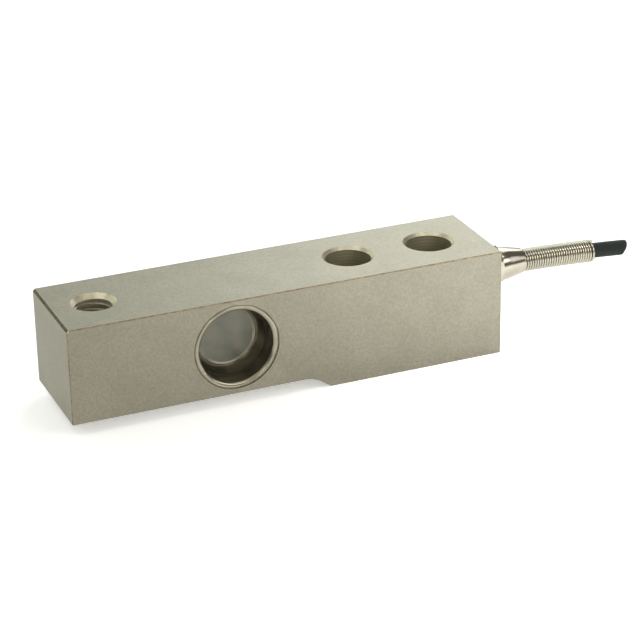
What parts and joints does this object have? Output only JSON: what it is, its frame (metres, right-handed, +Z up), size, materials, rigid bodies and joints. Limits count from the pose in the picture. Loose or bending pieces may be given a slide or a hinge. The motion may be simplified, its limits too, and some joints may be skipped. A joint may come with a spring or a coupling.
{
  "type": "strain gauge load cell",
  "caption": "Single-ended shear beam load cell: steel bar with threaded load hole, mounting holes, sealed gauge pockets, and a cable gland with coil strain relief.",
  "frame": {"origin": "on the underside of the mounting foot, midway between the two mounting holes", "axes": "+X from the load end to the fixed end, where the cable leaves; +Z up, the way the load hole opens; the side seen in the picture faces -Y"},
  "size_m": [0.185, 0.0318, 0.0318],
  "materials": {
    "nickel_plated_steel": "satin nickel plating on tool steel",
    "stainless_sheet": "bright drawn stainless sheet",
    "gauge_foil": "metal foil on amber polyimide",
    "circuit_board": "green glass epoxy board",
    "resistor_body": "dark ceramic and glaze",
    "flat_lead": "polyimide-covered flat lead",
    "red_wire": "red core insulation",
    "black_wire": "black core insulation",
    "green_wire": "green core insulation",
    "white_wire": "white core insulation",
    "silicone_sealant": "soft pale sealant",
    "nickel_plated_brass": "bright nickel plating on brass",
    "seal_rubber": "black nitrile rubber",
    "spring_wire": "bright stainless spring wire",
    "cable_jacket": "smooth black polyurethane jacket"
  },
  "bodies": {
    "root": {"beam_body": "nickel_plated_steel", "front_sealing_cup": "stainless_sheet", "rear_sealing_cup": "stainless_sheet", "front_left_gauge": "gauge_foil", "front_right_gauge": "gauge_foil", "rear_left_gauge": "gauge_foil", "rear_right_gauge": "gauge_foil", "front_terminal": "circuit_board", "rear_terminal": "circuit_board", "compensation_board": "circuit_board", "zero_balance_resistor": "resistor_body", "zero_temperature_resistor": "resistor_body", "span_resistor": "resistor_body", "bridge_ribbon": "flat_lead", "excitation_plus_wire": "red_wire", "excitation_minus_wire": "black_wire", "signal_plus_wire": "green_wire", "signal_minus_wire": "white_wire", "front_coating": "silicone_sealant", "rear_coating": "silicone_sealant", "gland_body": "nickel_plated_brass", "gland_cap": "nickel_plated_brass", "gland_seal_ring": "seal_rubber", "seal_bush": "seal_rubber", "strain_relief_spring": "spring_wire", "signal_cable": "cable_jacket"}
  },
  "joints": []
}
